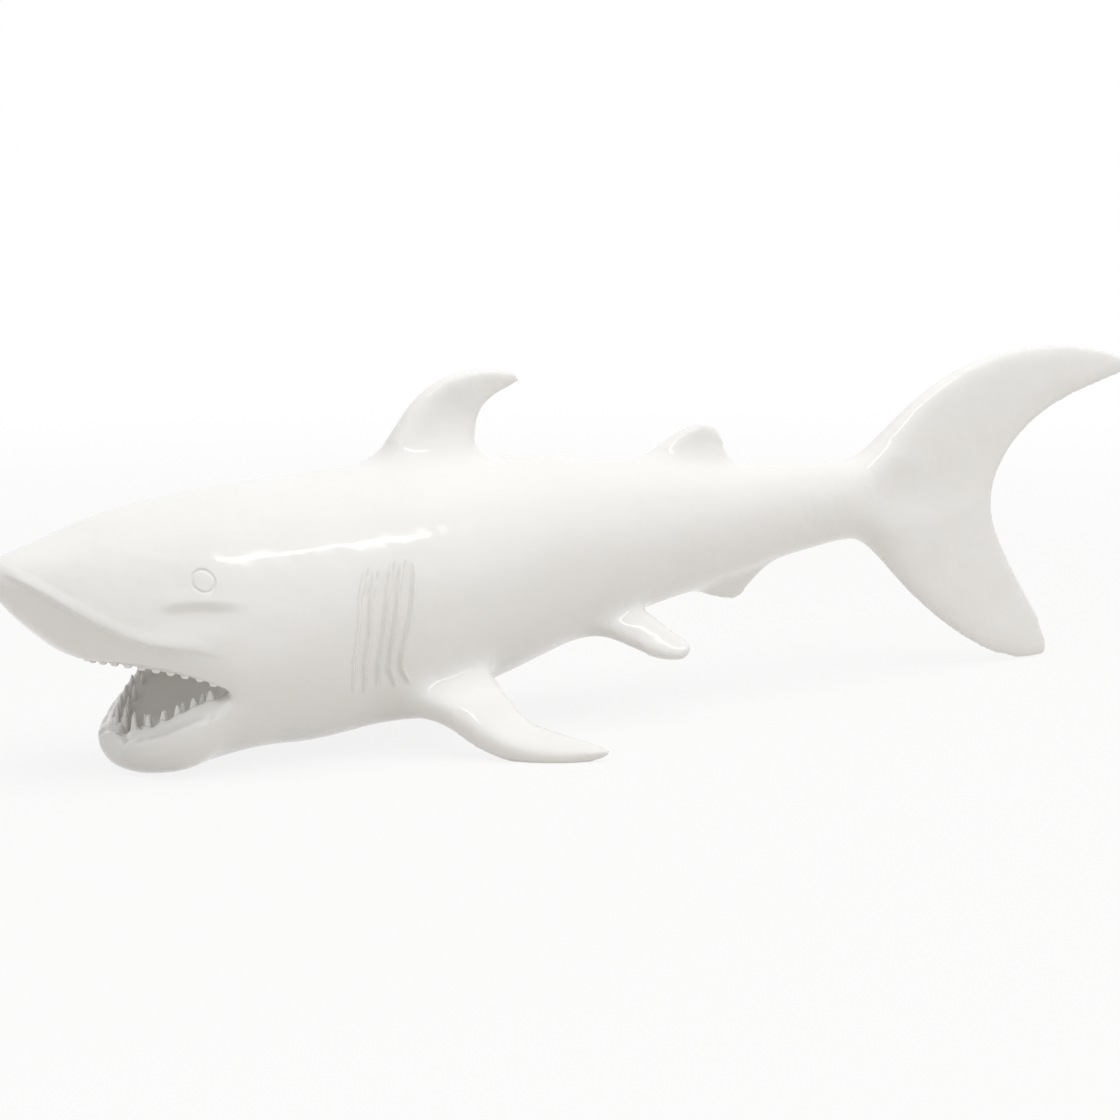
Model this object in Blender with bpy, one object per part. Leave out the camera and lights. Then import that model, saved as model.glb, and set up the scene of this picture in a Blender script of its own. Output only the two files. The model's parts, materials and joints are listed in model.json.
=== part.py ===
"""Shark figurine, cast in one piece, that stands on its chin, its two pectoral fins and its tail.

The body is a cage of rings strung from the nose to the tail, with the fins drawn out of its faces and
the open mouth built into its front rings. One level of subdivision rounds the cage. Teeth are then
united with it, and the gill slits, the eye rings and the flats that it stands on are cut.
Sizes are in metres, X runs from the nose back to the tail, and Z is up from the surface it stands on.
"""

import math

import bmesh
import bpy
from mathutils import Vector
from mathutils.bvhtree import BVHTree

# Body profiles: distance behind the nose, then a height or a half width there
BACK_LINE = [
    (0.0005, 0.0912), (0.003, 0.0924), (0.016, 0.0968), (0.029, 0.1012), (0.046, 0.1070),
    (0.064, 0.1106), (0.091, 0.1142), (0.119, 0.1166), (0.147, 0.1182), (0.176, 0.1188),
    (0.227, 0.1178), (0.265, 0.1157), (0.312, 0.1112), (0.358, 0.1062), (0.384, 0.1050),
    (0.406, 0.1032), (0.430, 0.1030),
]
SNOUT_UNDERSIDE = [
    (0.0005, 0.0768), (0.003, 0.0742), (0.010, 0.0668), (0.020, 0.0580), (0.031, 0.0497), (0.036, 0.0488),
]
BELLY_LINE = [
    (0.0488, 0.0042), (0.053, 0.0004), (0.060, -0.0018), (0.072, -0.0024), (0.084, -0.0010),
    (0.097, 0.0016), (0.110, 0.0040), (0.136, 0.0030), (0.160, 0.0063), (0.184, 0.0108),
    (0.210, 0.0160), (0.233, 0.0228), (0.255, 0.0300), (0.276, 0.0368), (0.316, 0.0468),
    (0.340, 0.0513), (0.379, 0.0607), (0.395, 0.0634), (0.430, 0.0678),
]
HALF_WIDTH = [
    (0.0005, 0.0095), (0.010, 0.0165), (0.020, 0.0228), (0.031, 0.0285), (0.047, 0.0345),
    (0.061, 0.0392), (0.072, 0.0430), (0.084, 0.0478), (0.100, 0.0495), (0.123, 0.0505),
    (0.149, 0.0508), (0.176, 0.0492), (0.200, 0.0462), (0.227, 0.0418), (0.253, 0.0370),
    (0.276, 0.0330), (0.312, 0.0270), (0.338, 0.0230), (0.358, 0.0200), (0.380, 0.0168),
    (0.395, 0.0150), (0.430, 0.0125),
]
WIDEST_HEIGHT = [
    (0.0005, 0.0845), (0.010, 0.0805), (0.016, 0.0770), (0.033, 0.0665), (0.051, 0.0580),
    (0.070, 0.0535), (0.084, 0.0515), (0.100, 0.0520), (0.123, 0.0560), (0.149, 0.0600),
    (0.176, 0.0640), (0.200, 0.0680), (0.227, 0.0715), (0.253, 0.0740), (0.312, 0.0785),
    (0.338, 0.0805), (0.380, 0.0830), (0.430, 0.0850),
]

# Mouth: the upper lip and the rim of the lower jaw, as distance behind the nose, half width, height
MOUTH_CORNER = 0.084
UPPER_LIP = [
    (0.036, 0.0105, 0.0485), (0.040, 0.0175, 0.0482), (0.047, 0.0240, 0.0472),
    (0.061, 0.0320, 0.0440), (0.072, 0.0380, 0.0410), (0.084, 0.0455, 0.0355),
]
JAW_RIM = [
    (0.0488, 0.0120, 0.0140), (0.053, 0.0205, 0.0155), (0.059, 0.0280, 0.0192),
    (0.0665, 0.0348, 0.0242), (0.075, 0.0412, 0.0298), (0.084, 0.0455, 0.0355),
]
SNOUT_STATIONS = (0.0005, 0.009, 0.019, 0.029)
PALATE_STATIONS = (0.036, 0.040, 0.047, 0.056, 0.066, 0.075)
JAW_STATIONS = (0.0488, 0.053, 0.059, 0.0665, 0.075)
LIP_THICKNESS = 0.0040
LIP_INNER_STEP = 0.0025
GUM_INSET = 0.0075
GUM_RISE = 0.0060
PALATE_RISE = 0.0150
TONGUE_DROP = 0.0120
THROAT_DEPTH = 0.0320
GUM_SHARE = 0.5
RIDGE_CREASE = 0.8
RIM_CREASE = 0.6
RIDGE_FADE = (0.050, 0.084)
RIDGE_PINCH = 0.06
NOSE_TIP = (-0.0030, 0.0, 0.0850)

# Rings: 20 points each, given as angles down from the middle of the back, on one side
UPPER_ANGLES = (0, 12, 29, 48, 69, 90)
LOWER_ANGLES_AT_MOUTH = (99, 109, 132, 156, 180)
LOWER_ANGLES_ON_BODY = (111, 128, 143, 160, 180)
LOWER_ANGLES_BEHIND = (116, 135, 150, 165, 180)
SNOUT_ANGLES = (125, 154, 163, 171, 180)
MOUTH_BLEND_END = 0.125
REAR_BLEND = (0.208, 0.267)
RING_SPACING = 0.0145
PEDUNCLE_END = 0.430

# Fins on the middle line, as leading and trailing edges from the root to the tip (x, z)
DORSAL_LEADING = [
    (0.175, 0.1180), (0.1800, 0.1300), (0.1872, 0.1420), (0.1955, 0.1514), (0.2062, 0.1572),
    (0.2200, 0.1580), (0.2335, 0.1560), (0.2480, 0.1518),
]
DORSAL_TRAILING = [
    (0.221, 0.1172), (0.2225, 0.1250), (0.2235, 0.1345), (0.2250, 0.1420), (0.2338, 0.1458),
    (0.2475, 0.1503),
]
SECOND_DORSAL_LEADING = [
    (0.312, 0.1108), (0.3200, 0.1200), (0.3310, 0.1250), (0.3435, 0.1250),
]
SECOND_DORSAL_TRAILING = [
    (0.354, 0.1058), (0.3548, 0.1140), (0.3508, 0.1205), (0.3450, 0.1246),
]
ANAL_LEADING = [
    (0.336, 0.0508), (0.3450, 0.0462), (0.3550, 0.0443), (0.3602, 0.0443),
]
ANAL_TRAILING = [
    (0.378, 0.0603), (0.3730, 0.0545), (0.3665, 0.0490), (0.3614, 0.0450),
]

# Paired fins, as leading and trailing edges from the root to the tip (x, distance from the middle, z)
PECTORAL_LEADING = [
    (0.163, 0.0420, 0.0245), (0.1770, 0.0505, 0.0150), (0.1872, 0.0620, 0.0050),
    (0.1995, 0.0755, 0.0000), (0.2140, 0.0855, -0.0008), (0.2330, 0.0915, 0.0020),
]
PECTORAL_TRAILING = [
    (0.208, 0.0410, 0.0340), (0.2092, 0.0500, 0.0238), (0.2118, 0.0615, 0.0128),
    (0.2205, 0.0740, 0.0100), (0.2278, 0.0830, 0.0074), (0.2355, 0.0905, 0.0045),
]
PELVIC_LEADING = [
    (0.267, 0.0220, 0.0418), (0.2750, 0.0260, 0.0380), (0.2855, 0.0325, 0.0311), (0.3020, 0.0420, 0.0258),
]
PELVIC_TRAILING = [
    (0.294, 0.0230, 0.0496), (0.3000, 0.0290, 0.0450), (0.3042, 0.0360, 0.0372), (0.3092, 0.0425, 0.0350),
]

# Tail fin: edges from where it leaves the body to the tips, and its trailing edge, as distance behind
# the end of the body and height
TAIL_TOP_LEADING = [
    (0.0, 0.1030), (0.0120, 0.1145), (0.0285, 0.1295), (0.0512, 0.1425), (0.0810, 0.1502),
    (0.1175, 0.1534), (0.1450, 0.1494), (0.1755, 0.1388),
]
TAIL_TOP_TRAILING = [
    (0.1755, 0.1388), (0.1570, 0.1330), (0.1265, 0.1270), (0.1042, 0.1172), (0.0852, 0.1040),
    (0.0740, 0.0905), (0.0730, 0.0790),
]
TAIL_LOW_LEADING = [
    (0.0, 0.0678), (0.0092, 0.0580), (0.0250, 0.0398), (0.0498, 0.0188), (0.0758, 0.0030),
    (0.0960, -0.0050), (0.1130, -0.0035),
]
TAIL_LOW_TRAILING = [
    (0.1130, -0.0035), (0.1196, 0.0070), (0.1105, 0.0185), (0.0918, 0.0442), (0.0785, 0.0665),
    (0.0730, 0.0790),
]
TAIL_STEPS = 6
TAIL_ROWS = (0.0, 0.07, 0.27, 0.50, 0.75, 1.0)
TAIL_BLADE_HALF = 0.0034
TAIL_EDGE_HALF = 0.0020

# Half thickness of each fin at its root section and at its tip
DORSAL_HALF = (0.0066, 0.0021)
SECOND_DORSAL_HALF = (0.0043, 0.0018)
ANAL_HALF = (0.0040, 0.0018)
PECTORAL_HALF = (0.0105, 0.0028)
PELVIC_HALF = (0.0068, 0.0034)
EDGE_INSET = 0.08
THINNING = 0.6
TIP_NARROWING = 0.28
ROOT_CREASE = 0.4

# Teeth. Each span is the share of the lip that its row covers
UPPER_TEETH = 11
UPPER_SPAN = (0.05, 0.86)
UPPER_TOOTH_HEIGHT = (0.0022, 0.0018)
UPPER_TOOTH_RADIUS = 0.0023
UPPER_TOOTH_INSET = 0.0020
LOWER_TEETH = 7
LOWER_SPAN = (0.06, 0.80)
LOWER_TOOTH_HEIGHT = (0.0066, 0.0034)
LOWER_TOOTH_RADIUS = 0.0024
LOWER_TOOTH_INSET = 0.0072
INNER_TEETH = 3
INNER_SPAN = (0.11, 0.42)
INNER_TOOTH_HEIGHT = (0.0060, 0.0050)
INNER_TOOTH_RADIUS = 0.0022
INNER_TOOTH_INSET = 0.0110
TOOTH_ROOT = 0.0060
TOOTH_SINK = 0.0015
GUM_SEAT = 0.62
TOOTH_SIDES = 5
TOOTH_TIP_SHARE = 0.25

# Gill slits, from the top down (distance behind the nose, height), front slit first
GILL_SLITS = [
    [(0.1440, 0.0837), (0.1394, 0.0702), (0.1383, 0.0580), (0.1368, 0.0433), (0.1395, 0.0290)],
    [(0.1482, 0.0822), (0.1444, 0.0698), (0.1439, 0.0575), (0.1426, 0.0427), (0.1450, 0.0285)],
    [(0.1563, 0.0848), (0.1519, 0.0691), (0.1506, 0.0568), (0.1489, 0.0420), (0.1508, 0.0314)],
    [(0.1620, 0.0851), (0.1579, 0.0726), (0.1573, 0.0645), (0.1545, 0.0460), (0.1575, 0.0310)],
    [(0.1674, 0.0839), (0.1652, 0.0720), (0.1645, 0.0637), (0.1605, 0.0452), (0.1625, 0.0325)],
]
GILL_WIDTH = 0.0020
GILL_DEPTH = 0.0011
GILL_STEPS = 6

# Eye: a ring scribed into the side of the head
EYE_CENTRE = (0.0741, 0.0821)
EYE_RADIUS = 0.0044
EYE_GROOVE = 0.0007
EYE_SEGMENTS = 18
EYE_GROOVE_SEGMENTS = 5

# The flats that it stands on are ground off a block of this size below the surface
FLOOR_BLOCK_SIZE = 1.0

RESIN_WHITE = (0.86, 0.86, 0.84, 1.0)
RESIN_ROUGHNESS = 0.12


def curve_at(points, x):
    """The value at x of a smooth curve through (x, value, ...) points, as one number or a tuple."""
    points = [(p[0], Vector(list(p[1:]) + [0.0] * (3 - len(p)))) for p in points]
    x = min(max(x, points[0][0]), points[-1][0])
    span = next(i for i in range(len(points) - 1) if x <= points[i + 1][0])
    (x0, v0), (x1, v1) = points[span], points[span + 1]
    slope = (v1 - v0) / (x1 - x0)
    before, after = slope, slope
    if span > 0:
        xp, vp = points[span - 1]
        before = (v1 - vp) / (x1 - xp)
    if span + 2 < len(points):
        xn, vn = points[span + 2]
        after = (vn - v0) / (xn - x0)
    t = (x - x0) / (x1 - x0)
    width = x1 - x0
    return (
        v0 * (2 * t**3 - 3 * t**2 + 1)
        + before * width * (t**3 - 2 * t**2 + t)
        + v1 * (3 * t**2 - 2 * t**3)
        + after * width * (t**3 - t**2)
    )


def height_at(points, x):
    return curve_at(points, x)[0]


def along(points, share):
    """The point at this share of the length of a smooth curve through points of two or three numbers."""
    points = [Vector(list(p) + [0.0] * (3 - len(p))) for p in points]
    lengths = [0.0]
    for a, b in zip(points, points[1:]):
        lengths.append(lengths[-1] + (b - a).length)
    marked = [(length, *point) for length, point in zip(lengths, points)]
    where = share * lengths[-1]
    x = curve_at([(m[0], m[1]) for m in marked], where)[0]
    rest = curve_at([(m[0], m[2], m[3]) for m in marked], where)
    return Vector((x, rest[0], rest[1]))


def on_ellipse(x, angle, lowest):
    """A point of the ring at x: its half ellipses meet at the widest height."""
    widest = height_at(WIDEST_HEIGHT, x)
    turn = math.radians(angle)
    reach = height_at(BACK_LINE, x) - widest if angle < 90 else widest - lowest
    return Vector((x, height_at(HALF_WIDTH, x) * math.sin(turn), widest + reach * math.cos(turn)))


def smooth_share(x, start, end):
    """How far x has come from start to end, as a smooth step from 0 to 1."""
    share = min(max((x - start) / (end - start), 0.0), 1.0)
    return share * share * (3 - 2 * share)


def body_half(x):
    """The eleven points of a full ring, from the middle of the back to the middle of the belly."""
    front = smooth_share(x, MOUTH_CORNER, MOUTH_BLEND_END)
    rear = smooth_share(x, *REAR_BLEND)
    lower = [a + (b - a) * front for a, b in zip(LOWER_ANGLES_AT_MOUTH, LOWER_ANGLES_ON_BODY)]
    lower = [a + (b - a) * rear for a, b in zip(lower, LOWER_ANGLES_BEHIND)]
    belly = height_at(BELLY_LINE, x)
    return [on_ellipse(x, angle, belly) for angle in (*UPPER_ANGLES, *lower)]


def ridge_share(x):
    """How marked the ridge along the side of the snout is at x: 1 at the nose, 0 at the cheek."""
    start, end = RIDGE_FADE
    return min(max((end - x) / (end - start), 0.0), 1.0)


def snout_half(x):
    """The eleven points of a ring ahead of the mouth, back to underside."""
    underside = height_at(SNOUT_UNDERSIDE, x)
    points = [on_ellipse(x, angle, underside) for angle in (*UPPER_ANGLES, *SNOUT_ANGLES)]
    points[4].y *= 1 - RIDGE_PINCH
    points[6] = points[6].lerp((points[5] + points[7]) / 2, 0.6)
    return points


def upper_jaw_half(x):
    """The ring of the upper jaw at x: back, ridge, lip, and in over the palate to the middle."""
    points = [on_ellipse(x, angle, 0.0) for angle in UPPER_ANGLES]
    points[4].y *= 1 - RIDGE_PINCH * ridge_share(x)
    lip_width, lip_height = curve_at(UPPER_LIP, x)[:2]
    ridge = points[-1]
    cheek = Vector((x, ridge.y * 0.62 + lip_width * 0.38, ridge.z * 0.42 + lip_height * 0.58))
    opened = min((x - PALATE_STATIONS[0]) / (PALATE_STATIONS[2] - PALATE_STATIONS[0]), 1.0)
    opened = math.sqrt(opened)
    rise = PALATE_RISE * opened
    return points + [
        cheek,
        Vector((x, lip_width, lip_height)),
        Vector((x, lip_width - LIP_THICKNESS * (0.4 + 0.6 * opened), lip_height + LIP_INNER_STEP * opened)),
        Vector((x, lip_width * GUM_SHARE, lip_height + rise * 0.85)),
        Vector((x, 0.0, lip_height + rise)),
    ]


def lower_jaw_half(x):
    """The lower jaw's ring at x: rim, side, underside to the middle, then the mouth floor back out."""
    rim_width, rim_height = curve_at(JAW_RIM, x)[:2]
    belly = height_at(BELLY_LINE, x)
    depth = rim_height - belly
    front, crest, tongue = JAW_STATIONS[:3]
    risen = GUM_RISE * min((x - front) / (crest - front), 1.0)
    opened = min(max((x - crest) / (tongue - crest), 0.0), 1.0)
    drop = TONGUE_DROP * opened
    crest_height = risen * (1 - opened)
    outside = [
        Vector((x, rim_width, rim_height)),
        Vector((x, rim_width * 1.03, belly + depth * 0.48)),
        Vector((x, rim_width * 0.66, belly + depth * 0.13)),
        Vector((x, 0.0, belly)),
    ]
    inside = [
        Vector((x, 0.0, rim_height + crest_height - drop)),
        Vector((x, rim_width * GUM_SHARE, rim_height + crest_height - drop * 0.85)),
        Vector((x, rim_width - GUM_INSET * (0.4 + 0.6 * risen / GUM_RISE), rim_height + risen)),
    ]
    return outside, inside


def left(point):
    return Vector((point.x, -point.y, point.z))


class Cage:
    """The control cage of the shark, as a bmesh with helpers that add rings and join them."""

    def __init__(self):
        self.mesh = bmesh.new()

    def vertex(self, point):
        return self.mesh.verts.new(point)

    def face(self, *vertices):
        self.mesh.faces.new(vertices)

    def crease(self, line, weights):
        """Sharpens the edges along a line of vertices."""
        layers = self.mesh.edges.layers.float
        layer = layers.get("crease_edge") or layers.new("crease_edge")
        for a, b, weight in zip(line, line[1:], weights):
            self.mesh.edges.get((a, b))[layer] = weight

    def both_sides(self, half):
        """A closed ring from half of one: its ends lie on the middle, the rest is mirrored."""
        down = [self.vertex(left(point)) for point in half]
        up = [self.vertex(point) for point in half[1:-1]]
        return down + up[::-1]

    def bridge(self, ring, following):
        count = len(ring)
        for i in range(count):
            j = (i + 1) % count
            self.face(ring[i], ring[j], following[j], following[i])


def ring_stations():
    """Where the body's rings stand: at each end of a fin's root, with others spaced out between."""
    roots = [
        (DORSAL_LEADING[0][0], DORSAL_TRAILING[0][0]),
        (SECOND_DORSAL_LEADING[0][0], SECOND_DORSAL_TRAILING[0][0]),
        (ANAL_LEADING[0][0], ANAL_TRAILING[0][0]),
        (PECTORAL_LEADING[0][0], PECTORAL_TRAILING[0][0]),
        (PELVIC_LEADING[0][0], PELVIC_TRAILING[0][0]),
    ]
    fixed = sorted({MOUTH_CORNER, PEDUNCLE_END, *(x for root in roots for x in root)})
    stations = [fixed[0]]
    for x in fixed[1:]:
        gap = x - stations[-1]
        between = max(round(gap / RING_SPACING), 1)
        start = stations[-1]
        stations += [start + gap * i / between for i in range(1, between + 1)]
    return stations


def grow_fin(cage, front, side_a, rear, side_b, sections):
    """Draws a fin out of a root patch. Each section is (leading, trailing, normal, half thickness)."""
    loop = [front, *side_a, rear, *side_b[::-1]]
    count = len(side_a) - 1
    for leading, trailing, normal, half in sections:
        chord = trailing - leading
        shares = [EDGE_INSET + (1 - 2 * EDGE_INSET) * j / count for j in range(count + 1)]
        offsets = [normal * half * (1.1 - 0.55 * share) for share in shares]
        middles = [leading + chord * share for share in shares]
        a = [cage.vertex(m + o) for m, o in zip(middles, offsets)]
        b = [cage.vertex(m - o) for m, o in zip(middles, offsets)]
        following = [cage.vertex(leading), *a, cage.vertex(trailing), *b[::-1]]
        cage.bridge(loop, following)
        loop = following
    tip_a = loop[1 : count + 2]
    tip_b = loop[count + 3 :][::-1]
    for j in range(count):
        cage.face(tip_a[j], tip_a[j + 1], tip_b[j + 1], tip_b[j])
    cage.face(loop[0], tip_a[0], tip_b[0])
    cage.face(loop[count + 2], tip_b[-1], tip_a[-1])


def fin_sections(leading, trailing, halves, shares, side):
    """Sections of a fin at these shares of its edges. side is 0 on the middle line, else -1 or 1."""
    sections = []
    for share in shares:
        front, rear = along(leading, share), along(trailing, share)
        if side == 0:
            front, rear = Vector((front.x, 0, front.y)), Vector((rear.x, 0, rear.y))
            normal = Vector((0, 1, 0))
        else:
            ahead = along(leading, min(share + 0.05, 1.0)) - along(leading, max(share - 0.05, 0.0))
            front.y, rear.y, ahead.y = front.y * side, rear.y * side, ahead.y * side
            normal = (rear - front).cross(ahead).normalized()
            normal = normal if normal.z > 0 else -normal
        half = halves[0] + (halves[1] - halves[0]) * share**THINNING
        if share == 1.0:
            front, rear = front.lerp(rear, TIP_NARROWING), rear.lerp(front, TIP_NARROWING)
        sections.append((front, rear, normal, half))
    return sections


def between(stations, start, end):
    tolerance = 1e-6
    return [i for i, x in enumerate(stations) if start - tolerance <= x <= end + tolerance]


def add_middle_fin(cage, stations, rings, leading, trailing, halves, shares, middle):
    """A fin on the back (middle 0) or the belly (middle 10). Returns the faces' places to leave open."""
    chosen = between(stations, leading[0][0], trailing[0][0])
    low, high = middle - 1, (middle + 1) % 20
    side_a = [rings[i][high] for i in chosen]
    side_b = [rings[i][low] for i in chosen]
    sections = fin_sections(leading, trailing, halves, shares, 0)
    swapped = side_a[0].co.y < side_b[0].co.y
    side_a, side_b = (side_b, side_a) if swapped else (side_a, side_b)
    grow_fin(cage, rings[chosen[0]][middle], side_a, rings[chosen[-1]][middle], side_b, sections)
    return {(i, k) for i in chosen[:-1] for k in (low % 20, middle)}


def add_side_fin(cage, stations, rings, leading, trailing, halves, shares, row, side):
    """A paired fin, whose root straddles this row of ring points on one side."""
    chosen = between(stations, leading[0][0], trailing[0][0])
    upper, middle, lower = (row - 1, row, row + 1) if side < 0 else (21 - row, 20 - row, 19 - row)
    side_a = [rings[i][upper] for i in chosen]
    side_b = [rings[i][lower] for i in chosen]
    sections = fin_sections(leading, trailing, halves, shares, side)
    grow_fin(cage, rings[chosen[0]][middle], side_a, rings[chosen[-1]][middle], side_b, sections)
    cage.crease(side_a, [ROOT_CREASE] * len(side_a))
    return {(i, min(k, middle)) for i in chosen[:-1] for k in (upper, lower)}


def add_head(cage, corner_ring):
    """The snout, the upper jaw, the mouth and the lower jaw, joined to the ring at the mouth corner."""
    throat_height = UPPER_LIP[-1][2]
    widths = [UPPER_LIP[-1][1] * share for share in (0.66, 0.36, 0.0)]
    depths = [THROAT_DEPTH * share for share in (0.55, 0.9, 1.0)]
    half = [Vector((MOUTH_CORNER + d, w, throat_height)) for w, d in zip(widths, depths)]
    throat_left = [cage.vertex(left(point)) for point in half]
    throat_right = [cage.vertex(point) for point in half[:2]]
    throat = throat_left + throat_right[::-1]

    upper = corner_ring[:8] + throat + corner_ring[13:]
    ridges = [[upper[5]], [upper[15]]]
    for x in (*reversed(PALATE_STATIONS), *reversed(SNOUT_STATIONS)):
        half = upper_jaw_half(x) if x >= PALATE_STATIONS[0] else snout_half(x)
        ring = cage.both_sides(half)
        cage.bridge(ring, upper)
        upper = ring
        ridges[0].append(ring[5])
        ridges[1].append(ring[15])
    for ridge in ridges:
        cage.crease(ridge, [RIDGE_CREASE * ridge_share(vertex.co.x) for vertex in ridge])
    nose = cage.vertex(Vector(NOSE_TIP))
    for i in range(len(upper)):
        cage.face(nose, upper[(i + 1) % len(upper)], upper[i])

    lower = corner_ring[7:14] + throat[::-1]
    rims = [[lower[0]], [lower[6]]]
    for x in reversed(JAW_STATIONS):
        outside, inside = lower_jaw_half(x)
        under = [cage.vertex(left(p)) for p in outside] + [cage.vertex(p) for p in outside[2::-1]]
        floor = [cage.vertex(p) for p in inside[:0:-1]] + [cage.vertex(left(p)) for p in inside]
        ring = under + floor
        cage.bridge(lower, ring)
        lower = ring
        rims[0].append(ring[0])
        rims[1].append(ring[6])
    for rim in rims:
        cage.crease(rim, [RIM_CREASE] * len(rim))
    top = [lower[0], *lower[:6:-1], lower[6]]
    bottom = lower[:7]
    cage.face(top[0], top[1], bottom[1])
    for i in range(1, 5):
        cage.face(top[i], top[i + 1], bottom[i + 1], bottom[i])
    cage.face(top[5], top[6], bottom[5])


def behind_body(edge):
    """A tail edge moved back to the end of the body."""
    return [(x + PEDUNCLE_END, z) for x, z in edge]


def tail_points(leading, trailing, root_ring, rows, middle_end):
    """Rows of one lobe, each from the body to the trailing edge: a Coons patch of its four edges."""
    leading, trailing = behind_body(leading), behind_body(trailing)
    root = [root_ring[k] for k in rows]
    tip = along(leading, 1.0)
    fork = along(trailing, 1.0)
    table = []
    for share, start in zip(TAIL_ROWS, root):
        row = []
        for step in range(1, TAIL_STEPS + 1):
            u = step / TAIL_STEPS
            edge = along(leading, u)
            centre = Vector((middle_end.x, middle_end.z, 0)).lerp(fork, u)
            end = along(trailing, share)
            begin = Vector((start.x, start.z, 0))
            ends = Vector((root[0].x, root[0].z, 0)) * (1 - u) * (1 - share)
            ends += Vector((root[-1].x, root[-1].z, 0)) * (1 - u) * share
            ends += tip * u * (1 - share) + fork * u * share
            flat = edge * (1 - share) + centre * share + begin * (1 - u) + end * u - ends
            blade = TAIL_BLADE_HALF + (TAIL_EDGE_HALF - TAIL_BLADE_HALF) * u**2
            half = blade + max(abs(start.y) - blade, 0.0) * (1 - u) ** 2.5
            row.append(Vector((flat.x, half if share > 0 else 0.0, flat.y)))
        table.append(row)
    return table


def add_tail(cage, last_ring):
    """The tail fin: the last ring fanned out into two lobes and closed along the trailing edge."""
    root = [Vector((v.co.x, abs(v.co.y), v.co.z)) for v in last_ring]
    middle = root[5]
    top = tail_points(TAIL_TOP_LEADING, TAIL_TOP_TRAILING, root, range(6), middle)
    low = tail_points(TAIL_LOW_LEADING, TAIL_LOW_TRAILING, root, range(10, 4, -1), middle)
    rows = top + low[:5][::-1]
    ring = last_ring
    for step in range(TAIL_STEPS):
        half = [row[step] for row in rows]
        following = cage.both_sides(half)
        cage.bridge(ring, following)
        ring = following
    cage.face(ring[0], ring[1], ring[19])
    for k in range(1, 9):
        cage.face(ring[k], ring[k + 1], ring[19 - k], ring[20 - k])
    cage.face(ring[9], ring[10], ring[11])


def shark_cage():
    """The whole cage: rings, fins, tail and head."""
    cage = Cage()
    stations = ring_stations()
    rings = [cage.both_sides(body_half(x)) for x in stations]
    middle_fins = [
        (DORSAL_LEADING, DORSAL_TRAILING, DORSAL_HALF, (0.20, 0.45, 0.72, 0.96), 0),
        (SECOND_DORSAL_LEADING, SECOND_DORSAL_TRAILING, SECOND_DORSAL_HALF, (0.35, 0.75, 0.96), 0),
        (ANAL_LEADING, ANAL_TRAILING, ANAL_HALF, (0.35, 0.75, 0.96), 10),
    ]
    side_fins = [
        (PECTORAL_LEADING, PECTORAL_TRAILING, PECTORAL_HALF, (0.10, 0.24, 0.42, 0.62, 0.82, 1.0), 8),
        (PELVIC_LEADING, PELVIC_TRAILING, PELVIC_HALF, (0.14, 0.38, 0.64, 0.88, 1.0), 8),
    ]
    opened = set()
    for fin in middle_fins:
        opened |= add_middle_fin(cage, stations, rings, *fin)
    for fin in side_fins:
        for side in (-1, 1):
            opened |= add_side_fin(cage, stations, rings, *fin, side)
    for i in range(len(rings) - 1):
        for k in range(20):
            if (i, k) not in opened:
                following = (k + 1) % 20
                cage.face(rings[i][k], rings[i][following], rings[i + 1][following], rings[i + 1][k])
    add_head(cage, rings[0])
    add_tail(cage, rings[-1])
    loose = [v for v in cage.mesh.verts if not v.link_faces]
    bmesh.ops.delete(cage.mesh, geom=loose, context="VERTS")
    bmesh.ops.recalc_face_normals(cage.mesh, faces=cage.mesh.faces)
    return cage.mesh


def new_object(name, mesh):
    """A scene object from a bmesh."""
    data = bpy.data.meshes.new(name)
    mesh.to_mesh(data)
    mesh.free()
    made = bpy.data.objects.new(name, data)
    bpy.context.scene.collection.objects.link(made)
    return made


def helper(name, mesh):
    """An object that only shapes the shark: it is left out of renders."""
    made = new_object(name, mesh)
    made.hide_render = True
    made.display_type = "WIRE"
    return made


def add_tooth(mesh, base, tip_direction, height, radius):
    """One tooth: a blunt cone from below the gum to its tip."""
    axis = tip_direction.normalized()
    across = axis.cross(Vector((1, 0, 0))).normalized()
    beside = axis.cross(across)
    start = base - axis * TOOTH_ROOT
    end = base + axis * height
    circles = []
    for centre, size in ((start, radius), (end, radius * TOOTH_TIP_SHARE)):
        turns = [2 * math.pi * i / TOOTH_SIDES for i in range(TOOTH_SIDES)]
        offsets = [(across * math.cos(t) + beside * math.sin(t)) * size for t in turns]
        circles.append([mesh.verts.new(centre + offset) for offset in offsets])
    low, high = circles
    for i in range(TOOTH_SIDES):
        j = (i + 1) % TOOTH_SIDES
        mesh.faces.new((low[i], low[j], high[j], high[i]))
    mesh.faces.new(low[::-1])
    mesh.faces.new(high)


def tooth_row(mesh, lip, count, inset, seat, heights, radius, shares, upward):
    """Teeth along both sides of a lip, from beside the middle to near the mouth corner. Seat is how far
    above the lip the gum carries them."""
    start, end = shares
    for i in range(count):
        share = start + (end - start) * i / (count - 1)
        point, ahead = along(lip, share), along(lip, min(share + 0.04, 1.0))
        inward = Vector((ahead.y - point.y, point.x - ahead.x, 0)).normalized()
        height = heights[0] + (heights[1] - heights[0]) * i / (count - 1)
        for side in (-1, 1):
            base = point + inward * inset
            base = Vector((base.x, base.y * side, base.z + seat - TOOTH_SINK * upward))
            add_tooth(mesh, base, Vector((0, -0.12 * side, upward)), height, radius)


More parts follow.
